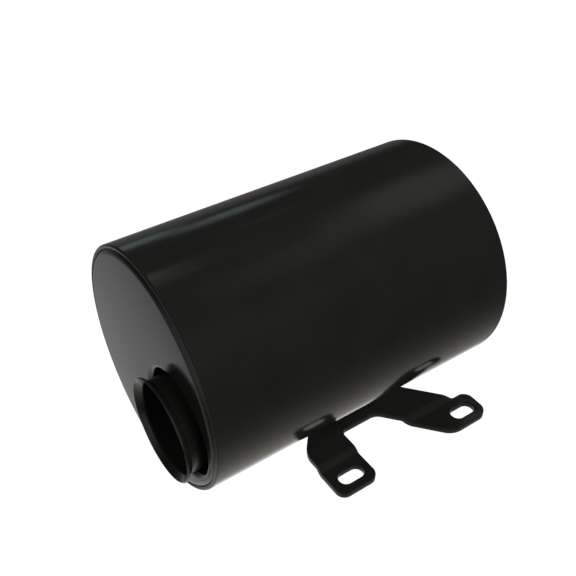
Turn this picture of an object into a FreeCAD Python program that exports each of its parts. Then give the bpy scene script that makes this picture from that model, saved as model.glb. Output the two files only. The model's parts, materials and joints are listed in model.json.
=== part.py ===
"""Horizontal steel hydraulic reservoir on a slotted plate bracket.

Everything is drawn in the tank's own coordinates: X runs along the shell's axis from the front end,
the axis is at Y = 0, Z = 0, and Z is up. save() moves each piece to the stored origin, which is the
centre of the bracket's two slots on the underside of its ears. Lengths are in millimetres.
"""
import FreeCAD, Part
import math
import os

V = FreeCAD.Vector
X_AXIS = V(1, 0, 0)
Y_AXIS = V(0, 1, 0)

# Gaps: pieces welded together stand `touch` apart, and pieces that fit in one another `slip` apart
touch = 0.02
slip = 0.05

# Shell and end plates
shell_r = 84.0
shell_wall = 2.0
shell_length = 233.0
rim_outer_round = 1.2
rim_inner_round = 0.6
plate_wall = 2.0
plate_flange = 12.0
plate_corner_r = 5.0
plate_face = -1.2
seam_front = 0.1
seam_slope = math.radians(60)
plate_weld_leg = 2.6

# Anti-surge baffle
baffle_x = 148.0
baffle_wall = 2.0
baffle_low = -62.0
baffle_high = 36.0
tack_heights = (-33.5, -7.5, 18.5)
tack_length = 9.0
tack_leg = 3.0

# Suction neck, standing in a drawn well in the front plate
neck_y = -36.6
neck_z = -15.3
neck_r = 31.75
neck_wall = 1.5
neck_front = -13.7
neck_inner_end = 36.0
bell_r = 3.0
bell_flare = math.radians(45)
lip_r = 35.6
well_r = 35.45
well_depth = 25.8
well_edge_r = 3.5
well_foot_r = 1.6
well_back_r = 1.5
neck_weld_leg = 1.9

# Strainer and its seat, on the neck's axis
seat_r = 28.5
shoulder_r = 26.0
seat_end = 46.0
shoulder_x = 42.5
strainer_front = 36.6
flange_r = 28.4
flange_mouth_r = 23.5
flange_lip_x = 41.0
flange_end = 44.0
pull_bar_r = 1.5
pull_bar_x = 40.6
gasket_front = 41.05
gasket_back = 42.4
core_r = 24.0
core_wall = 1.5
core_end = 122.0
hole_rows = 7
holes_round = 12
core_hole_r = 3.0
mesh_r = 25.0
cap_r = 25.5
cap_lap = 3.8
cap_wall = 2.0

# Bypass valve in the strainer's end cap
valve_hole_r = 9.0
poppet_r = 12.5
poppet_head = 2.5
stem_r = 2.5
stem_length = 32.0
cage_from_end = 26.0
cage_wall = 3.0
cage_hub_r = 7.5
cage_rim_r = 19.5
cage_leg_width = 4.0
spring_r = 5.0
spring_wire_r = 0.7
spring_turns = 5
spring_length = 18.4
spring_from_end = 22.0

# Bracket: one plate under the shell with two arms, each joggled down to a slotted ear
bracket_t = 5.0
pad_inner_y = 12.0
pad_near_x = 102.5
pad_far_x = 174.0
spine_y = -52.8
near_arm = (84.2, 116.9)
near_corner_y = -55.4
far_arm_root_x = 149.2
ear_shoulder_x = 206.6
far_ear_x = 221.6
ear_y = -97.5
ear_inner_y = -73.1
arm_slope = 0.85
joggle_y = -70.2
joggle_drop = 3.5
bend_r = 2.0
slot_y = -85.8
slot_near_x = 100.7
slot_pitch = 105.0
slot_length = 20.0
slot_width = 11.0
stitches = 3
stitch_length = 15.0
stitch_pitch = 22.0
stitch_start = 6.0

# Rear fittings: (Y, Z) of each on the rear plate, and the outside radius of its boss
return_at = (38.0, -18.0)
filler_at = (30.0, 40.0)
sight_at = (-34.0, 22.0)
drain_at = (0.0, -62.0)
boss_radius = {return_at: 20.0, filler_at: 18.0, sight_at: 19.0, drain_at: 12.5}
boss_out = 4.0
boss_in = 8.0
g34_r = 12.25
g38_r = 7.6
plug_collar = 2.0
washer_wall = 1.5
plug_tip = 3.0
filler_flats = 27.0
filler_head = 8.0
vent_r = 3.0
disc_seat_r = 9.0
disc_seat_depth = 4.0
cover_r = 12.0
cover_wall = 2.2
cover_vents = 6
drain_flats = 17.0
drain_head = 7.0
magnet_r = 4.0
magnet_pocket = 6.0
diffuser_length = 58.0
diffuser_r = 14.5
diffuser_wall = 1.5
diffuser_rows = 6
diffuser_pitch = 8.0
diffuser_hole_r = 2.5
sight_bore_r = 14.0
sight_ledge = 3.0
sight_window_r = 10.0
sight_rim_r = 17.0
lens_r = 12.8
lens_wall = 4.0

# Places that follow from the sizes above
plate_back = plate_face + plate_wall
rear_face = shell_length - plate_face
rear_inner = rear_face - plate_wall
inner_r = shell_r - shell_wall
plate_r = inner_r - slip
well_floor = plate_face + well_depth
boss_front = rear_inner - boss_in
boss_back = rear_face + boss_out
plug_seat = boss_back + slip + washer_wall + slip
filler_top = plug_seat + plug_collar + filler_head
ear_bottom = -shell_r - joggle_drop - bracket_t
origin = V(slot_near_x + slot_pitch / 2, slot_y, ear_bottom)


def corner_arc(before, corner, after, radius):
    """Tangent points and middle of the arc that rounds one corner of an outline."""
    to_before = (before - corner).normalize()
    to_after = (after - corner).normalize()
    half = to_before.getAngle(to_after) / 2
    tangent = radius / math.tan(half)
    middle = (to_before + to_after).normalize() * (radius / math.sin(half) - radius)
    return corner + to_before * tangent, corner + middle, corner + to_after * tangent


def rounded_face(corners):
    """Flat face inside an outline of (u, v, corner radius), drawn in the XY plane."""
    points = [V(u, v, 0) for u, v, _ in corners]
    edges = []
    last = None
    first = None
    for i, (_, _, radius) in enumerate(corners):
        here = points[i]
        if radius > 0:
            start, middle, end = corner_arc(points[i - 1], here, points[(i + 1) % len(points)], radius)
        else:
            start = end = here
        if last is not None and last.distanceToPoint(start) > 1e-6:
            edges.append(Part.LineSegment(last, start).toShape())
        if radius > 0:
            edges.append(Part.Arc(start, middle, end).toShape())
        first = start if first is None else first
        last = end
    if last.distanceToPoint(first) > 1e-6:
        edges.append(Part.LineSegment(last, first).toShape())
    return Part.Face(Part.Wire(edges))


def turned(corners, y=0.0, z=0.0):
    """Solid of revolution from an (x, radius, corner radius) outline about an X-wise axis."""
    solid = rounded_face(corners).revolve(V(0, 0, 0), X_AXIS, 360)
    solid.translate(V(0, y, z))
    return solid


def ring(x0, x1, r_in, r_out, y=0.0, z=0.0, edge=0.0):
    """Plain turned ring or, with r_in 0, disc; edge rounds its outer corners."""
    return turned([(x0, r_in, 0), (x0, r_out, edge), (x1, r_out, edge), (x1, r_in, 0)], y, z)


def rod(x0, x1, radius, y=0.0, z=0.0):
    return Part.makeCylinder(radius, x1 - x0, V(x0, y, z), X_AXIS)


def cross_drill(x, y, z, angle, radius, length):
    """Drill through an X-wise tube's axis, turned by angle round it."""
    across = V(0, math.cos(angle), math.sin(angle))
    return Part.makeCylinder(radius, length, V(x, y, z) - across * (length / 2), across)


def fillet_ring(x, radius, leg, way, y, z):
    """Triangular fillet weld round a tube, standing on a flat face at x; way is -1 or 1 along X."""
    foot = x + way * touch
    inner = radius + touch
    return turned([(foot, inner, 0), (x + way * leg, inner, 0), (foot, radius + leg, 0)], y, z)


def hexagon(x0, height, across_flats, y, z):
    """Hexagon head along X with its corners chamfered round."""
    chamfer = 1.2
    corner = across_flats / math.sqrt(3)
    points = [V(x0, y + corner * math.cos(math.radians(a)), z + corner * math.sin(math.radians(a)))
              for a in range(0, 361, 60)]
    head = Part.Face(Part.makePolygon(points)).extrude(V(height, 0, 0))
    x1 = x0 + height
    flat_r = corner - chamfer * math.tan(math.radians(60))
    cap = turned([(x0, 0, 0), (x0, corner, 0), (x1 - chamfer, corner, 0), (x1, flat_r, 0), (x1, 0, 0)], y, z)
    return head.common(cap)


def save(name, shape):
    """Write one node, moved so that the stored origin is at zero."""
    shape = shape.copy()
    shape.translate(origin * -1)
    shape.exportStep("parts/" + name + ".step")


# ---- Shell and end plates -------------------------------------------------------------------------

def shell():
    return turned([(0, inner_r, rim_inner_round), (0, shell_r, rim_outer_round),
                   (shell_length, shell_r, rim_outer_round), (shell_length, inner_r, rim_inner_round)])


def flanged_disc():
    """End plate pressed from sheet: flat face at x = plate_face and a flange turned into the shell."""
    end = plate_face + plate_flange
    hollow = plate_r - plate_wall
    return turned([(plate_face, 0, 0), (plate_face, plate_r, plate_corner_r), (end, plate_r, 0),
                   (end, hollow, 0), (plate_back, hollow, plate_corner_r - plate_wall), (plate_back, 0, 0)])


def front_end_plate():
    """Front plate with the round well drawn into it around the neck."""
    collar = well_r + well_edge_r + 0.2
    hole = neck_r + slip
    outside = well_r + plate_wall
    floor_back = well_floor + plate_wall
    disc = flanged_disc().cut(rod(plate_face - 1, plate_back + 1, collar, neck_y, neck_z))
    well = turned([(plate_face, collar, 0), (plate_face, well_r, well_edge_r),
                   (well_floor, well_r, well_foot_r), (well_floor, hole, 0), (floor_back, hole, 0),
                   (floor_back, outside, well_foot_r + plate_wall), (plate_back, outside, well_back_r),
                   (plate_back, collar, 0)], neck_y, neck_z)
    return disc.fuse(well).removeSplitter()


def rear_end_plate():
    """Plain rear plate, mirrored to face the other way, with a hole for each boss."""
    plate = flanged_disc().mirror(V(shell_length / 2, 0, 0), X_AXIS)
    for (y, z), radius in boss_radius.items():
        plate = plate.cut(rod(rear_inner - 1, rear_face + 1, radius + slip, y, z))
    return plate


def seam_weld(front):
    """Bead in the groove between the shell's rim and the plate's rounded corner.

    Its section is a triangle whose long side just clears the corner's arc, at seam_slope round it.
    """
    outer = plate_r - touch
    clear = plate_corner_r + touch
    arc_x = plate_face + plate_corner_r
    arc_r = plate_r - plate_corner_r
    foot_r = arc_r + (clear - (arc_x - seam_front) * math.cos(seam_slope)) / math.sin(seam_slope)
    tip_x = arc_x - (clear - (outer - arc_r) * math.sin(seam_slope)) / math.cos(seam_slope)
    bead = turned([(seam_front, foot_r, 0), (seam_front, outer, 0), (tip_x, outer, 0)])
    return bead if front else bead.mirror(V(shell_length / 2, 0, 0), X_AXIS)


def baffle_plate():
    """Anti-surge plate: a disc cut straight above for air and below for oil."""
    disc = rod(baffle_x, baffle_x + baffle_wall, inner_r - 2 * slip)
    height = baffle_high - baffle_low
    window = Part.makeBox(baffle_wall, 2 * shell_r, height, V(baffle_x, -shell_r, baffle_low))
    return disc.common(window)


def baffle_tacks():
    """Short fillet welds that hold the baffle to the shell."""
    foot = baffle_x + baffle_wall + touch
    outer = inner_r - touch
    fillet = turned([(foot, outer - tack_leg, 0), (foot, outer, 0), (foot + tack_leg, outer, 0)])
    tacks = []
    for side in (-1, 1):
        inner_edge = 0 if side > 0 else -shell_r
        for height in tack_heights:
            block = Part.makeBox(2 * tack_leg, shell_r, tack_length,
                                 V(baffle_x, inner_edge, height - tack_length / 2))
            tacks.append(fillet.common(block))
    return Part.makeCompound(tacks)


# ---- Neck and strainer ----------------------------------------------------------------------------

def suction_neck():
    """Tube with a bell mouth flared outwards to a plain lip, square to the flare."""
    bore = neck_r - neck_wall
    mouth_r = lip_r - neck_wall * math.cos(bell_flare)
    lip_back = neck_front + neck_wall * math.sin(bell_flare)
    inside = neck_front + (mouth_r - bore) / math.tan(bell_flare)
    outside = lip_back + (lip_r - neck_r) / math.tan(bell_flare)
    return turned([(neck_inner_end, bore, 0), (inside, bore, bell_r), (neck_front, mouth_r, 0.2),
                   (lip_back, lip_r, 0.3), (outside, neck_r, bell_r - neck_wall),
                   (neck_inner_end, neck_r, 0)], neck_y, neck_z)


def strainer_seat():
    """Stepped ring welded to the neck's inner end; the strainer's flange stops on its shoulder."""
    x0 = neck_inner_end + touch
    return turned([(x0, seat_r, 0), (x0, neck_r, 0), (seat_end, neck_r, 1.0), (seat_end, shoulder_r, 0),
                   (shoulder_x, shoulder_r, 0), (shoulder_x, seat_r, 0)], neck_y, neck_z)


def strainer_flange():
    """Stepped ring that carries the core on its spigot and has a bevelled mouth."""
    bore = core_r - core_wall
    return turned([(strainer_front, flange_mouth_r, 0), (strainer_front, flange_r, 0.4),
                   (flange_lip_x, flange_r, 0), (flange_lip_x, core_r, 0), (flange_end, core_r, 0),
                   (flange_end, bore, 0), (strainer_front + 2.4, bore, 0),
                   (strainer_front + 1.6, flange_mouth_r, 0)], neck_y, neck_z)


def strainer_pull_bar():
    """Round bar across the flange's mouth, to draw the strainer out by."""
    reach = core_r - core_wall - slip
    bar = Part.makeCylinder(pull_bar_r, 2 * core_r, V(pull_bar_x, neck_y, neck_z - core_r), V(0, 0, 1))
    return bar.common(rod(pull_bar_x - 2, pull_bar_x + 2, reach, neck_y, neck_z))


def strainer_gasket():
    inner = core_r + 0.3
    outer = flange_r - 0.2
    return ring(gasket_front, gasket_back, inner, outer, neck_y, neck_z, 0.4)


def strainer_core():
    """Perforated tube under the mesh."""
    start = flange_end + slip
    core = ring(start, core_end, core_r - core_wall, core_r, neck_y, neck_z)
    pitch = (core_end - start) / (hole_rows + 1)
    drills = []
    for row in range(1, hole_rows + 1):
        for i in range(holes_round // 2):
            angle = math.radians((i + 0.5 * (row % 2)) * 360 / holes_round)
            drills.append(cross_drill(start + row * pitch, neck_y, neck_z, angle, core_hole_r, 60))
    return core.cut(drills)


def strainer_mesh():
    """Sleeve of wire cloth over the whole core, from the flange to the end cap's lap."""
    end = core_end - cap_lap - 0.2
    return ring(flange_end + slip, end, core_r + 0.1, mesh_r, neck_y, neck_z)


def strainer_end_cap():
    """Pressed cap over the core's end, with the bypass valve's port in its middle."""
    face = core_end + slip
    back = core_end + cap_wall
    lap = core_end - cap_lap
    inside = core_r + 0.15
    return turned([(face, valve_hole_r, 0), (back, valve_hole_r, 0), (back, cap_r, 1.5), (lap, cap_r, 0),
                   (lap, inside, 0), (face, inside, 0)], neck_y, neck_z)


def spring_cage():
    """Spider inside the core that guides the poppet's stem and backs its spring."""
    x0 = core_end - cage_from_end
    x1 = x0 + cage_wall
    cage = ring(x0, x1, stem_r + 0.1, cage_hub_r, neck_y, neck_z)
    cage = cage.fuse(ring(x0, x1, cage_rim_r, core_r - core_wall - slip, neck_y, neck_z))
    start = cage_hub_r - 0.7
    for i in range(3):
        leg = Part.makeBox(cage_wall, cage_rim_r + 0.8 - start, cage_leg_width,
                           V(x0, start, -cage_leg_width / 2))
        leg.rotate(V(0, 0, 0), X_AXIS, 120 * i + 90)
        leg.translate(V(0, neck_y, neck_z))
        cage = cage.fuse(leg)
    return cage.removeSplitter()


def bypass_poppet():
    """Mushroom valve that seals the end cap's port from inside."""
    seat = core_end - slip
    tip = core_end - stem_length
    head = seat - poppet_head
    return turned([(tip, 0, 0), (tip, stem_r, 0.6), (head, stem_r, 0.5), (head, poppet_r, 0.5),
                   (seat, poppet_r, 0.5), (seat, 0, 0)], neck_y, neck_z)


def bypass_spring():
    """Compression spring between the cage and the poppet's head."""
    helix = Part.makeHelix(spring_length / spring_turns, spring_length, spring_r)
    section = Part.Wire(Part.makeCircle(spring_wire_r, V(spring_r, 0, 0), Y_AXIS))
    spring = Part.Wire(helix.Edges).makePipeShell([section], True, True)
    spring.rotate(V(0, 0, 0), Y_AXIS, 90)
    spring.translate(V(core_end - spring_from_end, neck_y, neck_z))
    return spring


# ---- Bracket --------------------------------------------------------------------------------------

def bracket_outline():
    """Plan of the flat plate, corner by corner, anticlockwise from the near ear's outer corner."""
    foot_x = far_arm_root_x + arm_slope * (spine_y - ear_y)
    near_waist_y = near_corner_y + (pad_near_x - near_arm[0]) / arm_slope
    far_waist_y = ear_inner_y + (ear_shoulder_x - pad_far_x) / arm_slope
    return [(near_arm[0], ear_y, 7.1), (near_arm[1], ear_y, 7.1), (near_arm[1], spine_y, 5.5),
            (far_arm_root_x, spine_y, 10.0), (foot_x, ear_y, 16.0), (far_ear_x, ear_y, 8.6),
            (far_ear_x, ear_inner_y, 7.0), (ear_shoulder_x, ear_inner_y, 6.0),
            (pad_far_x, far_waist_y, 10.0), (pad_far_x, pad_inner_y, 6.0),
            (pad_near_x, pad_inner_y, 6.0), (pad_near_x, near_waist_y, 10.0),
            (near_arm[0], near_corner_y, 16.0)]


def joggled_sheet():
    """Sheet with the two-bend joggle, as wide as the shell is long and wider than the bracket."""
    inner_edge = pad_inner_y + 20
    outer_edge = ear_y - 20
    top = -shell_r
    under = top - bracket_t
    low = top - joggle_drop
    shift = bracket_t * math.tan(math.radians(22.5))
    outer = bend_r + bracket_t
    y1 = joggle_y
    y2 = joggle_y - joggle_drop
    section = rounded_face([(inner_edge, top, 0), (y1, top, outer), (y2, low, bend_r), (outer_edge, low, 0),
                            (outer_edge, ear_bottom, 0), (y2 + shift, ear_bottom, outer),
                            (y1 + shift, under, bend_r), (inner_edge, under, 0)])
    section.rotate(V(0, 0, 0), V(1, 1, 1), 120)
    return section.extrude(V(shell_length, 0, 0))


def through_plate(face):
    """Upright prism on a flat outline, taller than the bracket on both sides."""
    spare = 10
    face.translate(V(0, 0, ear_bottom - spare))
    return face.extrude(V(0, 0, joggle_drop + bracket_t + 2 * spare))


def slot(x):
    """Tool for one slot, running along X through the ear."""
    r = slot_width / 2
    half = slot_length / 2
    round_r = r - 1e-4
    return through_plate(rounded_face([(x - half, slot_y - r, round_r), (x + half, slot_y - r, round_r),
                                       (x + half, slot_y + r, round_r), (x - half, slot_y + r, round_r)]))


def mounting_bracket():
    plate = joggled_sheet().common(through_plate(rounded_face(bracket_outline())))
    for x in (slot_near_x, slot_near_x + slot_pitch):
        plate = plate.cut(slot(x))
    return plate.removeSplitter()


def bracket_welds():
    """Stitch welds between the plate and the shell, on each side of the line of contact."""
    edge = pad_inner_y + touch
    top = -shell_r + touch
    outside = [V(0, edge, top - 3.5), V(0, edge + 5.5, top + 2.6), V(0, edge, top + 2.6)]
    inside = [V(0, -20, top), V(0, -12, top), V(0, -12, top + 3), V(0, -18, top + 3)]
    drum = rod(0, shell_length, shell_r + touch)
    welds = []
    for i in range(stitches):
        for points in (outside, inside):
            section = Part.Face(Part.makePolygon(points + points[:1]))
            section.translate(V(pad_near_x + stitch_start + i * stitch_pitch, 0, 0))
            welds.append(section.extrude(V(stitch_length, 0, 0)).cut(drum))
    return Part.makeCompound(welds)


# ---- Fittings on the rear plate -------------------------------------------------------------------

def boss(at, bore_r):
    radius = boss_radius[at]
    return turned([(boss_front, bore_r, 0.5), (boss_front, radius, 0.8), (boss_back, radius, 0.8),
                   (boss_back, bore_r, 0.5)], *at)


def boss_weld(at):
    return fillet_ring(rear_face, boss_radius[at], plate_weld_leg, 1, *at)


def return_diffuser():
    """Perforated tube that spreads the returning oil below the surface."""
    x0 = boss_front - diffuser_length
    tube = ring(x0, boss_front - touch, diffuser_r - diffuser_wall, diffuser_r, *return_at)
    drills = []
    for row in range(diffuser_rows):
        x = x0 + (row + 1) * diffuser_pitch
        for i in range(4):
            angle = math.radians(45 * i + 22.5 * (row % 2))
            drills.append(cross_drill(x, *return_at, angle, diffuser_hole_r, 40))
    return tube.cut(drills)


def diffuser_end_cap():
    back = boss_front - diffuser_length - touch
    return ring(back - 2, back, 0, diffuser_r, *return_at, edge=0.5)


def sight_glass_boss():
    """Boss stepped down to a ledge for the level glass; its front is clear to the oil."""
    glass = boss(sight_at, sight_bore_r)
    return glass.cut(rod(boss_front - 1, boss_front + sight_ledge, boss_radius[sight_at] + 1, *sight_at))


def sight_bezel():
    """Threaded ring with two spanner notches that holds the level glass."""
    front = boss_back - 5
    back = boss_back + 3
    under = boss_back + slip
    skirt = sight_bore_r - 0.1
    bezel = turned([(front, sight_window_r, 0), (front, skirt, 0.3), (under, skirt, 0),
                    (under, sight_rim_r, 0.6), (back, sight_rim_r, 0.8), (back, sight_window_r, 0.6)],
                   *sight_at)
    width = 3.0
    notch = Part.makeBox(3, 4 * sight_rim_r, width,
                         V(back - 1.5, sight_at[0] - 2 * sight_rim_r, sight_at[1] - width / 2))
    return bezel.cut(notch)


def sight_glass_seal():
    front = boss_front + sight_ledge + slip
    return ring(front, front + 0.9, 11.0, lens_r, *sight_at)


def sight_glass_lens():
    front = boss_front + sight_ledge + 1.0
    return rod(front, front + lens_wall, lens_r, *sight_at)


def plug(at, bore_r, across_flats, head):
    """Hexagon plug: smooth shank for the thread, collar and chamfered head."""
    tip = boss_front + plug_tip
    shank_r = bore_r - slip
    collar_r = across_flats / 2 + 1.5
    collar_end = plug_seat + plug_collar
    shank = turned([(tip, 0, 0), (tip, shank_r, 1.0), (plug_seat, shank_r, 0), (plug_seat, 0, 0)], *at)
    body = shank.fuse(ring(plug_seat, collar_end, 0, collar_r, *at, edge=0.4))
    return body.fuse(hexagon(collar_end, head, across_flats, *at)).removeSplitter()


def plug_washer(at, bore_r, across_flats):
    x0 = boss_back + slip
    return ring(x0, x0 + washer_wall, bore_r + 0.1, across_flats / 2 + 1.0, *at, edge=0.3)


def drain_plug():
    """Drain plug with a blind pocket for the magnet in its tip."""
    tip = boss_front + plug_tip
    pocket = rod(tip - 1, tip + magnet_pocket, magnet_r + slip, *drain_at)
    return plug(drain_at, g38_r, drain_flats, drain_head).cut(pocket)


def drain_magnet():
    front = boss_front + plug_tip + 0.5
    return rod(front, front + magnet_pocket - 0.6, magnet_r, *drain_at)


def filler_plug():
    """Filler plug bored through to breathe, with a seat for the filter disc in its head."""
    body = plug(filler_at, g34_r, filler_flats, filler_head)
    body = body.cut(rod(boss_front, filler_top + 1, vent_r, *filler_at))
    return body.cut(rod(filler_top - disc_seat_depth, filler_top + 1, disc_seat_r, *filler_at))


def breather_filter_disc():
    front = filler_top - disc_seat_depth + slip
    return rod(front, front + 2.5, disc_seat_r - 0.1, *filler_at)


def breather_cover():
    """Vented cap that snaps into the filler plug's head over the filter disc."""
    under = filler_top + slip
    top = filler_top + cover_wall
    cover = turned([(under, 0, 0), (under, cover_r, 0), (top, cover_r, 0.8), (top, 0, 0)], *filler_at)
    spigot = ring(filler_top - 1.3, filler_top + 0.1, disc_seat_r - 1.6, disc_seat_r - 0.1, *filler_at)
    vents = []
    for i in range(cover_vents):
        angle = math.radians(360 / cover_vents * i)
        y = filler_at[0] + 5 * math.cos(angle)
        z = filler_at[1] + 5 * math.sin(angle)
        vents.append(rod(filler_top, top + 1, 0.8, y, z))
    return cover.fuse(spigot).cut(vents)


os.makedirs("parts", exist_ok=True)

save("shell", shell())
save("front_end_plate", front_end_plate())
save("rear_end_plate", rear_end_plate())
save("front_seam_weld", seam_weld(True))
save("rear_seam_weld", seam_weld(False))
save("baffle_plate", baffle_plate())
save("baffle_tack_welds", baffle_tacks())

save("suction_neck", suction_neck())
save("neck_weld", fillet_ring(well_floor, neck_r, neck_weld_leg, -1, neck_y, neck_z))
save("strainer_seat_ring", strainer_seat())

save("strainer_flange", strainer_flange())
save("strainer_pull_bar", strainer_pull_bar())
save("strainer_gasket", strainer_gasket())
save("strainer_core", strainer_core())
save("strainer_mesh", strainer_mesh())
save("strainer_end_cap", strainer_end_cap())
save("bypass_spring_cage", spring_cage())
save("bypass_poppet", bypass_poppet())
save("bypass_spring", bypass_spring())

save("mounting_bracket", mounting_bracket())
save("bracket_welds", bracket_welds())

save("return_port_boss", boss(return_at, g34_r))
save("return_port_weld", boss_weld(return_at))
save("return_diffuser", return_diffuser())
save("diffuser_end_cap", diffuser_end_cap())

save("sight_glass_boss", sight_glass_boss())
save("sight_glass_weld", boss_weld(sight_at))
save("sight_glass_bezel", sight_bezel())
save("sight_glass_lens", sight_glass_lens())
save("sight_glass_seal", sight_glass_seal())

save("filler_boss", boss(filler_at, g34_r))
save("filler_boss_weld", boss_weld(filler_at))
save("filler_plug", filler_plug())
save("filler_plug_washer", plug_washer(filler_at, g34_r, filler_flats))
save("breather_filter_disc", breather_filter_disc())
save("breather_cover", breather_cover())

save("drain_boss", boss(drain_at, g38_r))
save("drain_boss_weld", boss_weld(drain_at))
save("drain_plug", drain_plug())
save("drain_plug_washer", plug_washer(drain_at, g38_r, drain_flats))
save("drain_magnet", drain_magnet())
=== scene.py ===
"""Looks of the horizontal hydraulic reservoir: gloss black shell, lipped neck and slotted bracket.

Metres, in the stored frame: X runs along the shell from the neck's end, Z is up, and the origin is
between the bracket's two slots on the underside of its ears.
"""
import json
import math

import bmesh
import bpy
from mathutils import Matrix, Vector


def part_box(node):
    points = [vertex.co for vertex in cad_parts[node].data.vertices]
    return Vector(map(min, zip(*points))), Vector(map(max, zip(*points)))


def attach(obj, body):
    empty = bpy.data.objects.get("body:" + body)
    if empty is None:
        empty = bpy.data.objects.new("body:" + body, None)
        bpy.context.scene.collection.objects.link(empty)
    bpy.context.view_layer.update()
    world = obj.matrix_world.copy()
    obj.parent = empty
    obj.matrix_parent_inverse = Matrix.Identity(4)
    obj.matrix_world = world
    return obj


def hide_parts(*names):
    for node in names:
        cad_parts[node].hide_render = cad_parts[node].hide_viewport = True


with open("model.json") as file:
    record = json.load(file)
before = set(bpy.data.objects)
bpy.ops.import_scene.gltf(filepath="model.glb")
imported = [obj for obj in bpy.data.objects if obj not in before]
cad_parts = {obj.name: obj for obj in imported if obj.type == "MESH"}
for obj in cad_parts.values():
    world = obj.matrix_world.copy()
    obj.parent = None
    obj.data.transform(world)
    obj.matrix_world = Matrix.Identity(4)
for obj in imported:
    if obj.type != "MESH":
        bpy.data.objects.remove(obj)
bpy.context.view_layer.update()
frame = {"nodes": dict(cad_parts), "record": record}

MM = 0.001
ROUND = 256          # steps round a full turn on the large pieces
FINE = 96            # steps round a full turn on the small ones


def middle(node):
    """Centre of a turned node's axis, as (y, z)."""
    lo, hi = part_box(node)
    return (lo.y + hi.y) / 2, (lo.z + hi.z) / 2


# ---- Places and sizes, taken from the frame --------------------------------------------------------

shell_lo, shell_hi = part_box("shell")
shell_r = (shell_hi.z - shell_lo.z) / 2
shell_axis = middle("shell")
front_x = shell_lo.x
back_x = shell_hi.x

plate_lo, plate_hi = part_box("front_end_plate")
plate_r = (plate_hi.z - plate_lo.z) / 2
face_x = plate_lo.x
plate_wall = 2.0 * MM
plate_flange = 12.0 * MM
corner_r = 5.0 * MM

neck_lo, neck_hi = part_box("suction_neck")
neck_axis = middle("suction_neck")
lip_r = (neck_hi.z - neck_lo.z) / 2
neck_r = 31.75 * MM
neck_wall = 1.5 * MM
bell_r = 3.0 * MM
bell_flare = math.radians(45)
well_r = 35.45 * MM
well_edge_r = 3.5 * MM
well_foot_r = 1.6 * MM
floor_x = plate_hi.x - plate_wall

rear_face_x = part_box("rear_end_plate")[1].x

bracket_lo, bracket_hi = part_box("mounting_bracket")
sheet_t = 5.0 * MM
joggle_drop = 3.5 * MM


# ---- Mesh helpers ----------------------------------------------------------------------------------

def rounded(corners, steps=6, closed=True):
    """Points of an outline of (u, v, corner radius), with each rounded corner as a true arc."""
    out = []
    count = len(corners)
    for i, (u, v, radius) in enumerate(corners):
        here = Vector((u, v))
        if radius <= 0 or (not closed and i in (0, count - 1)):
            out.append(here)
            continue
        before = (Vector(corners[i - 1][:2]) - here).normalized()
        after = (Vector(corners[(i + 1) % count][:2]) - here).normalized()
        half = before.angle(after) / 2
        centre = here + (before + after).normalized() * (radius / math.sin(half))
        start = here + before * (radius / math.tan(half)) - centre
        sweep = start.angle_signed(here + after * (radius / math.tan(half)) - centre)
        for k in range(steps + 1):
            a = -sweep * k / steps
            out.append(centre + Vector((start.x * math.cos(a) - start.y * math.sin(a),
                                        start.x * math.sin(a) + start.y * math.cos(a))))
    return out


def new_piece(name, bm, sharp_deg=35):
    """Object from a bmesh, shaded smooth except across edges sharper than sharp_deg."""
    bmesh.ops.remove_doubles(bm, verts=bm.verts, dist=1e-6)
    bmesh.ops.recalc_face_normals(bm, faces=bm.faces)
    mesh = bpy.data.meshes.new(name)
    bm.to_mesh(mesh)
    bm.free()
    mesh.polygons.foreach_set("use_smooth", [True] * len(mesh.polygons))
    mesh.set_sharp_from_angle(angle=math.radians(sharp_deg))
    piece = bpy.data.objects.new(name, mesh)
    bpy.context.scene.collection.objects.link(piece)
    return piece


def held(profile, closed):
    """Profile with a point near each end of its long straight runs, so that they are shaded straight."""
    gap = 0.5 * MM
    out = []
    for i, point in enumerate(profile):
        start = Vector(point)
        run = Vector(profile[(i + 1) % len(profile)]) - start
        out.append(start)
        if run.length > 4 * gap and (closed or i < len(profile) - 1):
            step = run.normalized() * gap
            out += [start + step, start + run - step]
    return out


def add_turned(bm, profile, axis, steps=ROUND, closed=True, bump=None):
    """Surface of revolution of (x, radius) points about an X-wise axis; bump(angle, i) adds radius."""
    if not bump:
        profile = held(profile, closed)
    rings = []
    for k in range(steps):
        a = 2 * math.pi * k / steps
        ring = []
        for i, (x, r) in enumerate(profile):
            rr = r + (bump(a, i) if bump else 0)
            ring.append(bm.verts.new((x, axis[0] + rr * math.cos(a), axis[1] + rr * math.sin(a))))
        rings.append(ring)
    last = len(profile) if closed else len(profile) - 1
    for k in range(steps):
        a, b = rings[k], rings[(k + 1) % steps]
        for i in range(last):
            j = (i + 1) % len(profile)
            if profile[i][1] < 1e-7 and profile[j][1] < 1e-7:
                continue
            if profile[i][1] < 1e-7:
                bm.faces.new((a[i], b[j], a[j]))
            elif profile[j][1] < 1e-7:
                bm.faces.new((a[i], b[i], a[j]))
            else:
                bm.faces.new((a[i], b[i], b[j], a[j]))


def turned(name, corners, axis, steps=ROUND, arc=6):
    bm = bmesh.new()
    add_turned(bm, rounded(corners, arc), axis, steps)
    return new_piece(name, bm)


def add_loop(bm, x, radius, axis, steps=ROUND):
    """Closed loop of edges at x, with points at the same angles as add_turned."""
    verts = []
    for k in range(steps):
        a = 2 * math.pi * k / steps
        verts.append(bm.verts.new((x, axis[0] + radius * math.cos(a), axis[1] + radius * math.sin(a))))
    return [bm.edges.new((verts[k], verts[(k + 1) % steps])) for k in range(steps)]


def add_flat(bm, x, loops):
    """Flat face at x between an outer loop and its holes, each (radius, axis, steps)."""
    edges = []
    for radius, axis, steps in loops:
        edges += add_loop(bm, x, radius, axis, steps)
    bmesh.ops.triangle_fill(bm, use_beauty=True, edges=edges, normal=(1, 0, 0))


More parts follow.
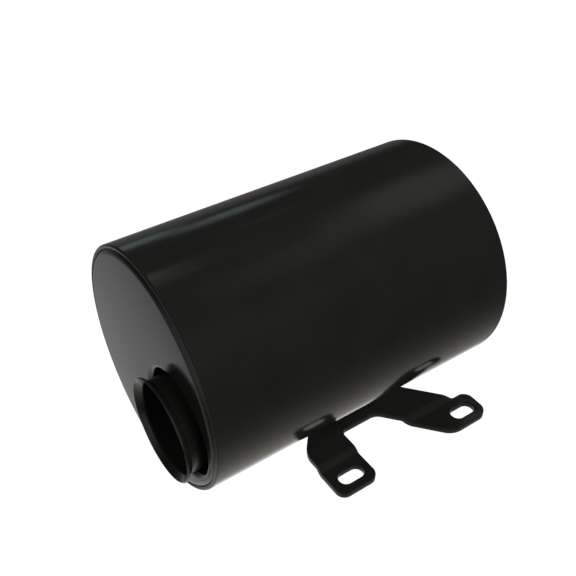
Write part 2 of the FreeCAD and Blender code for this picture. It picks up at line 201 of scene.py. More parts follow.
def finish_piece(piece, body, slot, material, *nodes):
    piece.data.materials.clear()
    piece.data.materials.append(material)
    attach(piece, body)
    if nodes:
        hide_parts(*nodes)
    return piece


# ---- Materials -------------------------------------------------------------------------------------

def shader(name, color, roughness, metallic=0.0, **inputs):
    """Principled material and its node tree, with plain values set on the shader's own sockets."""
    mat = bpy.data.materials.new(name)
    mat.use_nodes = True
    tree = mat.node_tree
    bsdf = tree.nodes["Principled BSDF"]
    bsdf.inputs["Base Color"].default_value = (*color, 1)
    bsdf.inputs["Roughness"].default_value = roughness
    bsdf.inputs["Metallic"].default_value = metallic
    for key, value in inputs.items():
        bsdf.inputs[key.replace("_", " ")].default_value = value
    return mat, tree, bsdf


def noise(tree, scale, detail=3.0, stretch=(1, 1, 1)):
    """Noise over the object's own coordinates; scale is in turns per metre."""
    coords = tree.nodes.new("ShaderNodeTexCoord")
    mapping = tree.nodes.new("ShaderNodeMapping")
    mapping.inputs["Scale"].default_value = stretch
    tex = tree.nodes.new("ShaderNodeTexNoise")
    tex.inputs["Scale"].default_value = scale
    tex.inputs["Detail"].default_value = detail
    tree.links.new(coords.outputs["Object"], mapping.inputs["Vector"])
    tree.links.new(mapping.outputs["Vector"], tex.inputs["Vector"])
    return tex.outputs["Fac"]


def spread(tree, source, low, high, start=0.3, end=0.7):
    """Source remapped to run from low to high."""
    node = tree.nodes.new("ShaderNodeMapRange")
    node.inputs["From Min"].default_value = start
    node.inputs["From Max"].default_value = end
    node.inputs["To Min"].default_value = low
    node.inputs["To Max"].default_value = high
    tree.links.new(source, node.inputs["Value"])
    return node.outputs["Result"]


def tint(tree, source, dark, light):
    ramp = tree.nodes.new("ShaderNodeValToRGB")
    ramp.color_ramp.elements[0].color = (*dark, 1)
    ramp.color_ramp.elements[1].color = (*light, 1)
    ramp.color_ramp.elements[0].position = 0.35
    ramp.color_ramp.elements[1].position = 0.65
    tree.links.new(source, ramp.inputs["Fac"])
    return ramp.outputs["Color"]


def bump(tree, bsdf, source, strength, depth, under=None):
    node = tree.nodes.new("ShaderNodeBump")
    node.inputs["Strength"].default_value = strength
    node.inputs["Distance"].default_value = depth
    tree.links.new(source, node.inputs["Height"])
    if under is not None:
        tree.links.new(under, node.inputs["Normal"])
    tree.links.new(node.outputs["Normal"], bsdf.inputs["Normal"])
    return node.outputs["Normal"]


def powder_coat():
    """Gloss black powder coat: fine orange peel, faint mottling and soft roughness changes."""
    mat, tree, bsdf = shader("black_powder_coat", (0.022, 0.022, 0.02), 0.15, IOR=1.5)
    mottle = noise(tree, 34, 4)
    tree.links.new(tint(tree, mottle, (0.0205, 0.0203, 0.018), (0.0245, 0.024, 0.0215)),
                   bsdf.inputs["Base Color"])
    tree.links.new(spread(tree, noise(tree, 21, 5), 0.12, 0.18), bsdf.inputs["Roughness"])
    bump(tree, bsdf, noise(tree, 620, 2), 0.05, 0.00006)
    return mat


def sheet_steel():
    """Bare rolled sheet, drawn along X, with an oily film."""
    mat, tree, bsdf = shader("bare_sheet_steel", (0.4, 0.4, 0.4), 0.35, 1.0)
    lines = noise(tree, 90, 4, (1, 14, 14))
    tree.links.new(tint(tree, lines, (0.28, 0.28, 0.285), (0.47, 0.465, 0.455)), bsdf.inputs["Base Color"])
    tree.links.new(spread(tree, noise(tree, 40, 4), 0.26, 0.46), bsdf.inputs["Roughness"])
    bump(tree, bsdf, lines, 0.15, 0.00008)
    return mat


def turned_metal(name, dark, light, rough, grain=900):
    """Machined or plated metal with fine tool marks and a mottled film."""
    mat, tree, bsdf = shader(name, light, rough, 1.0)
    film = noise(tree, 55, 5)
    tree.links.new(tint(tree, film, dark, light), bsdf.inputs["Base Color"])
    tree.links.new(spread(tree, noise(tree, 130, 4), rough - 0.06, rough + 0.1), bsdf.inputs["Roughness"])
    bump(tree, bsdf, noise(tree, grain, 2, (6, 1, 1)), 0.12, 0.00005)
    return mat


def rubber():
    mat, tree, bsdf = shader("nitrile_rubber", (0.02, 0.02, 0.02), 0.6)
    tree.links.new(tint(tree, noise(tree, 70, 4), (0.012, 0.012, 0.012), (0.03, 0.03, 0.029)),
                   bsdf.inputs["Base Color"])
    tree.links.new(spread(tree, noise(tree, 110, 4), 0.5, 0.72), bsdf.inputs["Roughness"])
    bump(tree, bsdf, noise(tree, 1500, 2), 0.2, 0.00005)
    return mat


def level_glass():
    """Clear glass with faint oil smears."""
    mat, tree, bsdf = shader("level_glass", (0.9, 0.93, 0.9), 0.04, IOR=1.52, Transmission_Weight=1.0)
    tree.links.new(tint(tree, noise(tree, 90, 4), (0.82, 0.86, 0.8), (0.95, 0.97, 0.95)),
                   bsdf.inputs["Base Color"])
    tree.links.new(spread(tree, noise(tree, 160, 5), 0.02, 0.12), bsdf.inputs["Roughness"])
    bump(tree, bsdf, noise(tree, 240, 2), 0.03, 0.00005)
    return mat


coat = powder_coat()
steel = sheet_steel()
stainless = turned_metal("pressed_stainless", (0.5, 0.5, 0.49), (0.66, 0.655, 0.64), 0.28)
wire_steel = turned_metal("mesh_wire", (0.4, 0.4, 0.39), (0.58, 0.575, 0.56), 0.3)
spring_wire = turned_metal("spring_wire", (0.22, 0.22, 0.235), (0.38, 0.38, 0.39), 0.3)
brass = turned_metal("turned_brass", (0.5, 0.34, 0.12), (0.78, 0.56, 0.24), 0.22)
zinc = turned_metal("zinc_plate", (0.46, 0.475, 0.49), (0.68, 0.69, 0.7), 0.25)
washer_metal = turned_metal("washer_aluminium", (0.55, 0.55, 0.56), (0.76, 0.76, 0.77), 0.34)
anodised = turned_metal("anodised_ring", (0.52, 0.53, 0.54), (0.72, 0.73, 0.74), 0.38)
bronze = turned_metal("sintered_bronze", (0.3, 0.18, 0.08), (0.55, 0.36, 0.18), 0.5, 2400)
magnet = turned_metal("ground_magnet", (0.2, 0.2, 0.21), (0.36, 0.36, 0.37), 0.3)
seal = rubber()
glass = level_glass()


# ---- Shell, end plates and neck --------------------------------------------------------------------

def shell_piece():
    """Rolled tube with softened rims."""
    inner = shell_r - 2.0 * MM
    soft = 1.2 * MM
    burr = 0.6 * MM
    piece = turned("shell_tube", [(front_x, inner, burr), (front_x, shell_r, soft), (back_x, shell_r, soft),
                                  (back_x, inner, burr)], shell_axis, 384)
    return finish_piece(piece, "reservoir", "black_paint", coat, "shell")


def plate_rim(face, inward):
    """Open profile of an end plate from its flat face, round the corner and along the flange, and back."""
    hollow = plate_r - plate_wall
    end = face + inward * plate_flange
    back = face + inward * plate_wall
    flat_r = plate_r - corner_r
    outer = rounded([(face, flat_r, 0), (face, plate_r, corner_r), (end, plate_r, 0), (end, hollow, 0),
                     (back, hollow, corner_r - plate_wall), (back, flat_r, 0)], 8, closed=False)
    return outer, flat_r


def end_plate(name, face, inward, holes, extra):
    """Flanged plate whose flat faces are cut by holes of (radius, axis, steps)."""
    bm = bmesh.new()
    profile, flat_r = plate_rim(face, inward)
    add_turned(bm, profile, shell_axis, closed=False)
    add_flat(bm, face, [(flat_r, shell_axis, ROUND)] + holes)
    add_flat(bm, face + inward * plate_wall, [(flat_r, shell_axis, ROUND)] + holes)
    extra(bm)
    return new_piece(name, bm, 30)


def front_plate_piece():
    """Front plate with the well drawn in round the neck."""
    collar = well_r + well_edge_r + 0.2 * MM
    back = face_x + plate_wall

    def well(bm):
        hole = neck_r + 0.05 * MM
        profile = rounded([(face_x, collar, 0), (face_x, well_r, well_edge_r), (floor_x, well_r, well_foot_r),
                           (floor_x, hole, 0), (floor_x + plate_wall, hole, 0),
                           (floor_x + plate_wall, well_r + plate_wall, well_foot_r + plate_wall),
                           (back, well_r + plate_wall, 1.5 * MM), (back, collar, 0)], 8, closed=False)
        add_turned(bm, profile, neck_axis, closed=False)

    piece = end_plate("front_plate", face_x, 1, [(collar, neck_axis, ROUND)], well)
    return finish_piece(piece, "reservoir", "black_paint", coat, "front_end_plate")


BOSSES = ("return_port_boss", "filler_boss", "sight_glass_boss", "drain_boss")


def rear_plate_piece():
    """Rear plate, with a hole for each boss."""
    holes = []
    for node in BOSSES:
        lo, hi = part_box(node)
        holes.append(((hi.z - lo.z) / 2 + 0.03 * MM, middle(node), FINE))

    def walls(bm):
        for radius, axis, steps in holes:
            add_turned(bm, [(rear_face_x, radius), (rear_face_x - plate_wall, radius)], axis, steps, False)

    piece = end_plate("rear_plate", rear_face_x, -1, holes, walls)
    return finish_piece(piece, "reservoir", "black_paint", coat, "rear_end_plate")


def rim_seam(name, node, rim, inward):
    """Fused bead sunk in the groove between the shell's rim and the plate's round corner."""
    mouth = rim + inward * 0.45 * MM
    root = rim + inward * 1.7 * MM
    piece = turned(name, [(mouth, plate_r - 0.75 * MM, 0.15 * MM), (mouth, plate_r + 0.03 * MM, 0),
                          (root, plate_r + 0.03 * MM, 0)], shell_axis, ROUND, 4)
    return finish_piece(piece, "reservoir", "black_paint", coat, node)


def neck_piece():
    """Neck with its bell mouth flared outwards to a lip that is square to the flare."""
    bore = neck_r - neck_wall
    mouth_r = lip_r - neck_wall * math.cos(bell_flare)
    lip_back = neck_lo.x + neck_wall * math.sin(bell_flare)
    inside = neck_lo.x + (mouth_r - bore) / math.tan(bell_flare)
    outside = lip_back + (lip_r - neck_r) / math.tan(bell_flare)
    piece = turned("neck_tube", [(neck_hi.x, bore, 0), (inside, bore, bell_r),
                                 (neck_lo.x, mouth_r, 0.2 * MM), (lip_back, lip_r, 0.3 * MM),
                                 (outside, neck_r, bell_r - neck_wall), (neck_hi.x, neck_r, 0)],
                   neck_axis, ROUND, 12)
    return finish_piece(piece, "reservoir", "black_paint", coat, "suction_neck")


def ripple_ring(name, node, radius, x, axis, size, count, slope=1.0):
    """Weld bead round a tube: overlapping ripples along a ring."""
    bm = bmesh.new()
    around = 10
    steps = count * 6
    rings = []
    for k in range(steps):
        a = 2 * math.pi * k / steps
        phase = (k % 6) / 6
        swell = size * (0.86 + 0.16 * math.sin(math.pi * phase))
        ring = []
        for i in range(around):
            t = 2 * math.pi * i / around
            r = radius + swell * math.cos(t)
            ring.append(bm.verts.new((x + slope * swell * math.sin(t), axis[0] + r * math.cos(a),
                                      axis[1] + r * math.sin(a))))
        rings.append(ring)
    for k in range(steps):
        a, b = rings[k], rings[(k + 1) % steps]
        for i in range(around):
            j = (i + 1) % around
            bm.faces.new((a[i], b[i], b[j], a[j]))
    return finish_piece(new_piece(name, bm, 60), "reservoir", "black_paint", coat, node)


# ---- Bracket ---------------------------------------------------------------------------------------

def bracket_plan():
    """Corners of the bracket's plan, in the frame, and the two slots' centres."""
    ear_y = bracket_lo.y
    near_x = bracket_lo.x
    far_x = bracket_hi.x
    pattern = frame["record"]["mounts"][0]["dims"]
    half_pitch = pattern["spacing_x_mm"] * MM / 2
    near_arm_x = near_x + 32.7 * MM
    spine_y = ear_y + 44.7 * MM
    root_x = near_x + 65.0 * MM
    slope = 0.85
    foot_x = root_x + slope * (spine_y - ear_y)
    ear_inner_y = ear_y + 24.4 * MM
    shoulder_x = far_x - 15.0 * MM
    corner_y = ear_y + 42.1 * MM
    pad_near_x = near_x + 18.3 * MM
    pad_far_x = near_x + 89.8 * MM
    near_waist_y = corner_y + (pad_near_x - near_x) / slope
    far_waist_y = ear_inner_y + (shoulder_x - pad_far_x) / slope
    outline = [(near_x, ear_y, 7.1), (near_arm_x, ear_y, 7.1), (near_arm_x, spine_y, 5.5),
               (root_x, spine_y, 10.0), (foot_x, ear_y, 16.0), (far_x, ear_y, 8.6),
               (far_x, ear_inner_y, 7.0), (shoulder_x, ear_inner_y, 6.0), (pad_far_x, far_waist_y, 10.0),
               (pad_far_x, bracket_hi.y, 6.0), (pad_near_x, bracket_hi.y, 6.0),
               (pad_near_x, near_waist_y, 10.0), (near_x, corner_y, 16.0)]
    return [(x, y, r * MM) for x, y, r in outline], (-half_pitch, half_pitch), pattern


def joggle_height(y):
    """Height of the plate's lower face and of its upper face at y, both rounded at the two bends."""
    y1 = bracket_lo.y + 27.3 * MM
    y2 = y1 - joggle_drop
    shift = sheet_t * math.tan(math.radians(22.5))
    inner = 2.0 * MM
    outer = inner + sheet_t
    far = 1.0
    faces = (
        [(far, joggle_drop, 0), (y1 + shift, joggle_drop, inner), (y2 + shift, 0, outer), (-far, 0, 0)],
        [(far, joggle_drop + sheet_t, 0), (y1, joggle_drop + sheet_t, outer), (y2, sheet_t, inner),
         (-far, sheet_t, 0)])
    heights = []
    for corners in faces:
        line = rounded(corners, 10, closed=False)
        for p, q in zip(line, line[1:]):
            if q.x <= y <= p.x:
                heights.append(q.y + (p.y - q.y) * (y - q.x) / (p.x - q.x))
                break
    return heights


def flat_blank(outline, slots):
    """Flat plate with holes and softly rounded edges, 1 unit of thickness from z = 0 to sheet_t."""
    soft = 0.55 * MM
    curve = bpy.data.curves.new("blank", "CURVE")
    curve.dimensions = "2D"
    curve.fill_mode = "BOTH"
    curve.extrude = sheet_t / 2 - soft
    curve.bevel_depth = soft
    curve.bevel_resolution = 3
    curve.offset = -soft
    for points in [outline] + slots:
        spline = curve.splines.new("POLY")
        spline.points.add(len(points) - 1)
        for point, p in zip(spline.points, points):
            point.co = (p.x, p.y, 0, 1)
        spline.use_cyclic_u = True
    blank = bpy.data.objects.new("blank", curve)
    bpy.context.scene.collection.objects.link(blank)
    bpy.context.view_layer.update()
    mesh = bpy.data.meshes.new_from_object(blank.evaluated_get(bpy.context.evaluated_depsgraph_get()))
    bpy.data.objects.remove(blank)
    bpy.data.curves.remove(curve)
    bm = bmesh.new()
    bm.from_mesh(mesh)
    bpy.data.meshes.remove(mesh)
    bmesh.ops.translate(bm, verts=bm.verts, vec=(0, 0, sheet_t / 2))
    return bm


def bracket_piece():
    """Joggled plate: the flat blank is cut finely across the bends, then pressed to shape."""
    corners, slot_xs, pattern = bracket_plan()
    outline = rounded(corners, 10)
    half = pattern["slot_length_mm"] * MM / 2
    r = pattern["hole_r_mm"] * MM
    slots = [rounded([(x - half, -r, r), (x + half, -r, r), (x + half, r, r), (x - half, r, r)], 12)
             for x in slot_xs]
    bm = flat_blank(outline, slots)
    bmesh.ops.remove_doubles(bm, verts=bm.verts, dist=1e-6)
    bend_y = bracket_lo.y + 27.3 * MM
    y = bend_y - 8.0 * MM
    while y < bend_y + 6.0 * MM:
        geometry = bm.verts[:] + bm.edges[:] + bm.faces[:]
        bmesh.ops.bisect_plane(bm, geom=geometry, plane_co=(0, y, 0), plane_no=(0, 1, 0))
        y += 0.4 * MM
    for v in bm.verts:
        low, high = joggle_height(v.co.y)
        v.co.z = low + (high - low) * v.co.z / sheet_t
    piece = new_piece("bracket_plate", bm, 28)
    return finish_piece(piece, "reservoir", "black_paint", coat, "mounting_bracket")


def stitch_welds():
    """Rippled stitch beads on both sides of the line where the shell rests on the plate."""
    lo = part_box("bracket_welds")[0]
    bm = bmesh.new()
    stitch = 15 * MM
    pitch = 22 * MM
    around = 10
    lines = ((bracket_hi.y + 1.6 * MM, bracket_hi.z - 0.9 * MM, 2.3 * MM),
             (shell_axis[0] - 15.5 * MM, bracket_hi.z + 0.5 * MM, 1.5 * MM))
    for y, z, size in lines:
        for n in range(3):
            start = lo.x + n * pitch
            steps = 42
            rings = []
            for k in range(steps + 1):
                t = k / steps
                cap = math.sqrt(max(0.0, 1 - (2 * t - 1) ** 8))
                swell = size * (0.84 + 0.16 * abs(math.sin(math.pi * 7 * t))) * max(cap, 0.02)
                turns = [2 * math.pi * i / around for i in range(around)]
                rings.append([bm.verts.new((start + t * stitch, y + swell * math.cos(turn),
                                            z + swell * math.sin(turn)))
                              for turn in turns])
            for a, b in zip(rings, rings[1:]):
                for i in range(around):
                    j = (i + 1) % around
                    bm.faces.new((a[i], b[i], b[j], a[j]))
            bm.faces.new(rings[0])
            bm.faces.new(rings[-1])
    piece = new_piece("bracket_stitch_beads", bm, 60)
    return finish_piece(piece, "reservoir", "black_paint", coat, "bracket_welds")


# ---- Fittings and strainer -------------------------------------------------------------------------

def threaded_boss(name, node, pitch, bore_r):
    """Boss with a cut internal thread; pitch in metres."""
    lo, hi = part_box(node)
    axis = middle(node)
    outer = (hi.z - lo.z) / 2
    bm = bmesh.new()
    mouth = bore_r + 0.75 * pitch
    turns = int((hi.x - lo.x) / pitch)
    rows = [lo.x + (hi.x - lo.x) * i / (turns * 6) for i in range(turns * 6 + 1)]
    edge = 1.0 * MM
    profile = [(x, bore_r) for x in rows]
    depth = 0.5 * pitch

    def groove(angle, i):
        if i >= len(rows):
            return 0.0
        x = rows[i]
        from_end = min(x - lo.x, hi.x - x)
        flare = max(0.0, 1 - from_end / edge) * (mouth - bore_r)
        phase = (x / pitch + angle / (2 * math.pi)) % 1
        return max(flare, depth * (1 - abs(2 * phase - 1)) ** 1.2)

    outside = rounded([(hi.x, mouth, 0), (hi.x, outer, 0.8 * MM), (lo.x, outer, 0.8 * MM), (lo.x, mouth, 0)],
                      4, closed=False)
    add_turned(bm, profile + [tuple(p) for p in outside], axis, FINE, bump=groove)
    piece = new_piece(name, bm, 40)
    return finish_piece(piece, "reservoir", "black_paint", coat, node)


def hex_head(bm, x0, height, flats, axis, inner_r=0.0):
    """Hexagon head with the round chamfer that turning leaves on its corners."""
    steps = 120
    apothem = flats / 2
    chamfer_r = apothem * 0.97
    rings = []
    for k in range(steps):
        a = 2 * math.pi * k / steps
        local = (a + math.pi / 6) % (math.pi / 3) - math.pi / 6
        reach = apothem / math.cos(local)
        top = height - (reach - chamfer_r) * math.tan(math.radians(30))
        foot = 0.25 * (reach - chamfer_r)
        spots = [(foot, reach), (top, reach), (height, chamfer_r), (height, max(inner_r, 0.4 * MM))]
        rings.append([bm.verts.new((x0 + h, axis[0] + r * math.cos(a), axis[1] + r * math.sin(a)))
                      for h, r in spots])
    for k in range(steps):
        a, b = rings[k], rings[(k + 1) % steps]
        for i in range(len(a) - 1):
            bm.faces.new((a[i], b[i], b[i + 1], a[i + 1]))
    if inner_r <= 0:
        bm.faces.new([ring[-1] for ring in rings])


def plug_piece(name, node, bore_r, pitch, flats, head, body, pocket):
    """Hexagon plug: threaded shank with a relief, collar, chamfered head; pocket is (radius, depth, end)."""
    lo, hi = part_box(node)
    axis = middle(node)
    head_x = hi.x - head
    collar_r = flats / 2 + 1.5 * MM
    shank_end = head_x - 2.0 * MM
    r = bore_r - 0.05 * MM
    bm = bmesh.new()
    rows = 8 * int((shank_end - lo.x) / pitch)
    xs = [lo.x + (shank_end - lo.x) * i / rows for i in range(rows + 1)]

    def crest(angle, i):
        if not 0 < i <= rows:
            return 0.0
        x = xs[i]
        taper = min(1.0, (x - lo.x) / (1.2 * MM), max(0.0, (shank_end - 1.6 * MM - x) / (0.6 * MM)))
        phase = (x / pitch + angle / (2 * math.pi)) % 1
        cut = 0.45 * pitch * abs(2 * phase - 1)
        return -cut * max(taper, 0) - (1 - max(taper, 0)) * 0.5 * pitch

    radius, depth, at_tip = pocket
    tip = [(lo.x + depth, 0.0), (lo.x + depth, radius)] if at_tip else [(lo.x, 0.0)]
    profile = [(x, r) for x in xs]
    profile += [tuple(p) for p in rounded([(shank_end, r - 0.6 * MM, 0), (shank_end, collar_r, 0.4 * MM),
                                           (head_x, collar_r, 0.4 * MM), (head_x, flats / 2 * 0.98, 0)], 4,
                                          closed=False)]
    add_turned(bm, profile, axis, FINE, closed=False, bump=crest)
    start = [(lo.x, radius if at_tip else 3.0 * MM), (lo.x, r)]
    add_turned(bm, [tip[-1]] + start if at_tip else start, axis, FINE, closed=False)
    if at_tip:
        add_turned(bm, tip, axis, FINE, closed=False)
        hex_head(bm, head_x, head, flats, axis)
    else:
        hex_head(bm, head_x, head, flats, axis, radius)
        cup = [(hi.x, radius), (hi.x - depth, radius), (hi.x - depth, 3.0 * MM), (lo.x, 3.0 * MM)]
        add_turned(bm, cup, axis, FINE, closed=False)
    piece = new_piece(name, bm, 30)
    return finish_piece(piece, body, "zinc_plate", zinc, node)


def woven_mesh():
    """Real wire cloth round the strainer: rings and lengthwise wires that pass over and under."""
    lo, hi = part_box("strainer_mesh")
    axis = middle("strainer_mesh")
    outer = (hi.z - lo.z) / 2
    wire = 0.22 * MM
    centre_r = outer - 2 * wire
    lengthwise = 96
    pitch = 2 * math.pi * centre_r / lengthwise
    hoops = int((hi.x - lo.x - 2 * wire) / pitch)
    bm = bmesh.new()

    def tube(points, closed):
        rings = []
        for p, out, side in points:
            rings.append([bm.verts.new(p + out * (wire * math.cos(t)) + side * (wire * math.sin(t)))
                          for t in (0.0, math.pi / 2, math.pi, 3 * math.pi / 2)])
        pairs = list(zip(rings, rings[1:])) + ([(rings[-1], rings[0])] if closed else [])
        for a, b in pairs:
            for i in range(4):
                j = (i + 1) % 4
                bm.faces.new((a[i], b[i], b[j], a[j]))
        if not closed:
            bm.faces.new(rings[0])
            bm.faces.new(rings[-1])

    along = Vector((1, 0, 0))
    for h in range(hoops + 1):
        x = lo.x + wire + pitch * h
        points = []
        for k in range(lengthwise * 2):
            a = math.pi * k / lengthwise
            out = Vector((0, math.cos(a), math.sin(a)))
            wave = wire * math.cos(math.pi * (k / 2 + h)) if k % 2 == 0 else 0.0
            points.append((Vector((x, axis[0], axis[1])) + out * (centre_r + wave), out, along))
        tube(points, True)
    for n in range(lengthwise):
        a = 2 * math.pi * n / lengthwise
        out = Vector((0, math.cos(a), math.sin(a)))
        side = Vector((0, -math.sin(a), math.cos(a)))
        points = []
        for k in range(hoops * 2 + 1):
            wave = -wire * math.cos(math.pi * (k / 2 + n)) if k % 2 == 0 else 0.0
            x = lo.x + wire + pitch * k / 2
            points.append((Vector((x, axis[0], axis[1])) + out * (centre_r + wave), out, side))
        tube(points, False)
    piece = new_piece("wire_cloth", bm, 80)
    return finish_piece(piece, "strainer", "steel_mesh", wire_steel, "strainer_mesh")


def repaint(node, material):
    """Better material on a CAD node that stays."""
    mesh = frame["nodes"][node].data
    mesh.materials.clear()
    mesh.materials.append(material)


shell_piece()
front_plate_piece()
rear_plate_piece()
rim_seam("front_rim_seam", "front_seam_weld", front_x, 1)
rim_seam("rear_rim_seam", "rear_seam_weld", back_x, -1)
neck_piece()
ripple_ring("neck_foot_bead", "neck_weld", neck_r + 0.7 * MM, floor_x - 0.7 * MM, neck_axis, 1.1 * MM, 72)
bracket_piece()
stitch_welds()

for label, boss_node, bead_node in (("return_port", "return_port_boss", "return_port_weld"),
                                    ("filler", "filler_boss", "filler_boss_weld"),
                                    ("sight_glass", "sight_glass_boss", "sight_glass_weld"),
                                    ("drain", "drain_boss", "drain_boss_weld")):
    boss_lo, boss_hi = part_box(boss_node)
    boss_r = (boss_hi.z - boss_lo.z) / 2
    ripple_ring(label + "_bead", bead_node, boss_r + 0.8 * MM, rear_face_x + 0.6 * MM, middle(boss_node),
                1.5 * MM, int(2 * math.pi * boss_r / (1.7 * MM)))

threaded_boss("return_port_thread", "return_port_boss", 1.814 * MM, 12.25 * MM)
threaded_boss("filler_thread", "filler_boss", 1.814 * MM, 12.25 * MM)
threaded_boss("drain_thread", "drain_boss", 1.337 * MM, 7.6 * MM)
plug_piece("filler_hex_plug", "filler_plug", 12.25 * MM, 1.814 * MM, 27 * MM, 8 * MM, "filler_plug",
           (9.0 * MM, 4.0 * MM, False))
plug_piece("drain_hex_plug", "drain_plug", 7.6 * MM, 1.337 * MM, 17 * MM, 7 * MM, "drain_plug",
           (4.05 * MM, 6.0 * MM, True))
woven_mesh()

FINISHES = (
    (steel, ("baffle_plate", "baffle_tack_welds", "strainer_seat_ring", "return_diffuser",
             "diffuser_end_cap")),
    (stainless, ("strainer_flange", "strainer_pull_bar", "strainer_core", "strainer_end_cap",
                 "bypass_spring_cage")),
    (coat, ("sight_glass_boss",)), (anodised, ("sight_glass_bezel",)), (glass, ("sight_glass_lens",)),
    (seal, ("sight_glass_seal", "strainer_gasket")), (spring_wire, ("bypass_spring",)),
    (brass, ("bypass_poppet",)), (zinc, ("breather_cover",)), (bronze, ("breather_filter_disc",)),
    (washer_metal, ("filler_plug_washer", "drain_plug_washer")), (magnet, ("drain_magnet",)))
for finish, nodes in FINISHES:
    for node in nodes:
        repaint(node, finish)


# ---- Floor, light and camera -----------------------------------------------------------------------

def pale_floor():
    """Wide white floor for the camera; the coat reflects the softer studio below it instead."""
    half = 80.0
    corners = [(-half, -half, 0), (half, -half, 0), (half, half, 0), (-half, half, 0)]
    mesh = bpy.data.meshes.new("floor")
    mesh.from_pydata(corners, [], [(0, 1, 2, 3)])
    floor = bpy.data.objects.new("floor", mesh)
    bpy.context.scene.collection.objects.link(floor)
    floor.location.z = bracket_lo.z - 0.5 * MM
    mat = bpy.data.materials.new("pale_floor")
    mat.use_nodes = True
    tree = mat.node_tree
    tree.nodes.remove(tree.nodes["Principled BSDF"])
    white = tree.nodes.new("ShaderNodeEmission")
    white.inputs["Strength"].default_value = 1.05
    clear = tree.nodes.new("ShaderNodeBsdfTransparent")
    path = tree.nodes.new("ShaderNodeLightPath")
    mix = tree.nodes.new("ShaderNodeMixShader")
    tree.links.new(path.outputs["Is Camera Ray"], mix.inputs["Fac"])
    tree.links.new(clear.outputs["BSDF"], mix.inputs[1])
    tree.links.new(white.outputs["Emission"], mix.inputs[2])
    tree.links.new(mix.outputs["Shader"], tree.nodes["Material Output"].inputs["Surface"])
    mesh.materials.append(mat)


def math_node(tree, operation, first, second):
    node = tree.nodes.new("ShaderNodeMath")
    node.operation = operation
    for socket, value in zip(node.inputs, (first, second)):
        if isinstance(value, (int, float)):
            socket.default_value = value
        else:
            tree.links.new(value, socket)
    return node.outputs["Value"]


def tinted(tree, strength, color):
    """Colour scaled by a strength."""
    node = tree.nodes.new("ShaderNodeVectorMath")
    node.operation = "SCALE"
    node.inputs[0].default_value = color
    tree.links.new(strength, node.inputs["Scale"])
    return node.outputs["Vector"]


def added(tree, first, second):
    node = tree.nodes.new("ShaderNodeVectorMath")
    node.operation = "ADD"
    tree.links.new(first, node.inputs[0])
    tree.links.new(second, node.inputs[1])
    return node.outputs["Vector"]


def soft_panel(tree, direction, centre, spread, strength, color):
    """Glow in the studio round a centre direction, fading out over spread along X, Y and Z."""
    offset = tree.nodes.new("ShaderNodeVectorMath")
    offset.operation = "SUBTRACT"
    offset.inputs[1].default_value = centre
    tree.links.new(direction, offset.inputs[0])
    scaled = tree.nodes.new("ShaderNodeVectorMath")
    scaled.operation = "DIVIDE"
    scaled.inputs[1].default_value = spread
    tree.links.new(offset.outputs["Vector"], scaled.inputs[0])
    length = tree.nodes.new("ShaderNodeVectorMath")
    length.operation = "LENGTH"
    tree.links.new(scaled.outputs["Vector"], length.inputs[0])
    fade = tree.nodes.new("ShaderNodeMapRange")
    fade.interpolation_type = "SMOOTHSTEP"
    fade.inputs["From Min"].default_value = 0.25
    fade.inputs["From Max"].default_value = 1.0
    fade.inputs["To Min"].default_value = strength
    fade.inputs["To Max"].default_value = 0.0
    tree.links.new(length.outputs["Value"], fade.inputs["Value"])
    return tinted(tree, fade.outputs["Result"], color)


WARM = (1.0, 0.975, 0.86)
NEUTRAL = (1.0, 1.0, 1.0)
TEAL = (0.75, 1.0, 0.93)
PANELS = (                    # reflection direction, spread along X, Y and Z, strength, colour
    ((0.30, 0.94, 0.155), (0.08, 0.3, 0.13), 0.5, TEAL),
    ((0.41, 0.87, 0.25), (0.1, 0.3, 0.13), 0.42, TEAL),
    ((0.45, 0.66, 0.61), (0.08, 0.05, 0.05), 0.12, TEAL),
    ((0.29, 0.46, 0.83), (0.07, 0.1, 0.1), 0.55, NEUTRAL),
    ((0.31, 0.35, 0.88), (0.08, 0.08, 0.08), 0.3, WARM),
    ((0.60, 0.14, 0.79), (0.13, 0.42, 0.4), 0.32, NEUTRAL),
    ((0.46, -0.08, 0.88), (0.12, 0.3, 0.3), 0.13, NEUTRAL),
    ((0.4, 0.9, -0.08), (0.5, 0.3, 0.22), 0.07, WARM),
    ((0.40, 0.50, -0.78), (0.5, 0.42, 0.4), 0.75, NEUTRAL),
    ((-0.25, 0.80, -0.55), (0.3, 0.25, 0.25), 0.08, NEUTRAL),
    ((-0.95, -0.1, 0.0), (0.5, 0.8, 0.55), 0.42, NEUTRAL))


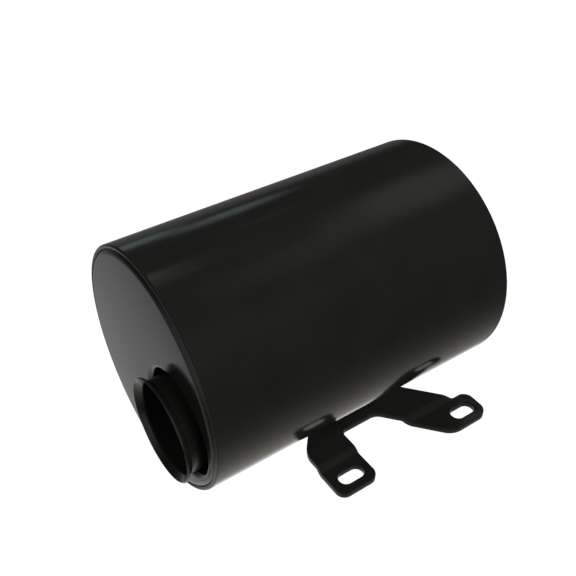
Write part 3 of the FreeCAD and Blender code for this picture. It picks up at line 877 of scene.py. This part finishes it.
def studio():
    """Dim room that brightens smoothly towards the floor, with a few soft panels overhead."""
    world = bpy.data.worlds.new("studio")
    bpy.context.scene.world = world
    world.use_nodes = True
    tree = world.node_tree
    direction = tree.nodes.new("ShaderNodeTexCoord").outputs["Generated"]
    along = tree.nodes.new("ShaderNodeVectorMath")
    along.operation = "DOT_PRODUCT"
    along.inputs[1].default_value = (0.0, 0.2, -0.98)
    tree.links.new(direction, along.inputs[0])
    low = tree.nodes.new("ShaderNodeMapRange")
    low.inputs["From Min"].default_value = -0.1
    low.inputs["From Max"].default_value = 1.0
    tree.links.new(along.outputs["Value"], low.inputs["Value"])
    ground = math_node(tree, "MULTIPLY", math_node(tree, "POWER", low.outputs["Result"], 2.7), 0.65)
    parts = tree.nodes.new("ShaderNodeSeparateXYZ")
    tree.links.new(direction, parts.inputs["Vector"])
    side = tree.nodes.new("ShaderNodeMapRange")
    side.inputs["From Min"].default_value = 0.1
    side.inputs["From Max"].default_value = 0.5
    tree.links.new(parts.outputs["Y"], side.inputs["Value"])
    color = tree.nodes.new("ShaderNodeMix")
    color.data_type = "RGBA"
    tree.links.new(side.outputs["Result"], color.inputs["Factor"])
    color.inputs["A"].default_value = (*WARM, 1)
    color.inputs["B"].default_value = (*NEUTRAL, 1)
    glow = tree.nodes.new("ShaderNodeVectorMath")
    glow.operation = "SCALE"
    tree.links.new(color.outputs["Result"], glow.inputs[0])
    tree.links.new(math_node(tree, "ADD", ground, 0.032), glow.inputs["Scale"])
    total = glow.outputs["Vector"]
    for panel in PANELS:
        total = added(tree, total, soft_panel(tree, direction, *panel))
    tree.links.new(total, tree.nodes["Background"].inputs["Color"])


def softbox(name, direction, distance, size, power):
    """Square area light that faces the object from a direction."""
    light = bpy.data.lights.new(name, "AREA")
    light.size = size
    light.energy = power
    lamp = bpy.data.objects.new(name, light)
    lamp.visible_glossy = False
    away = Vector(direction).normalized()
    lamp.location = Vector((0, *shell_axis)) + away * distance
    lamp.rotation_euler = away.to_track_quat("Z", "Y").to_euler()
    bpy.context.scene.collection.objects.link(lamp)


LENS = 51.13
STAND = Vector((-1.657, -4.247, 4.352))      # from the front rim's centre, in shell radii
VIEW = Vector((0.44308, 0.64164, -0.62608))


def camera():
    """Long lens at the catalogue view: neck end to the left, ears towards the viewer."""
    data = bpy.data.cameras.new("camera")
    data.lens = LENS
    data.sensor_width = 36.0
    cam = bpy.data.objects.new("camera", data)
    cam.location = Vector((front_x, *shell_axis)) + shell_r * STAND
    cam.rotation_euler = VIEW.to_track_quat("-Z", "Y").to_euler()
    bpy.context.scene.collection.objects.link(cam)
    bpy.context.scene.camera = cam


pale_floor()
studio()
softbox("key", (0.22, -0.7, 0.68), 2.5, 1.2, 29.5)
softbox("fill", (-0.5, 0.25, 0.85), 2.5, 1.2, 6)
camera()
bpy.context.scene.view_settings.view_transform = "Standard"
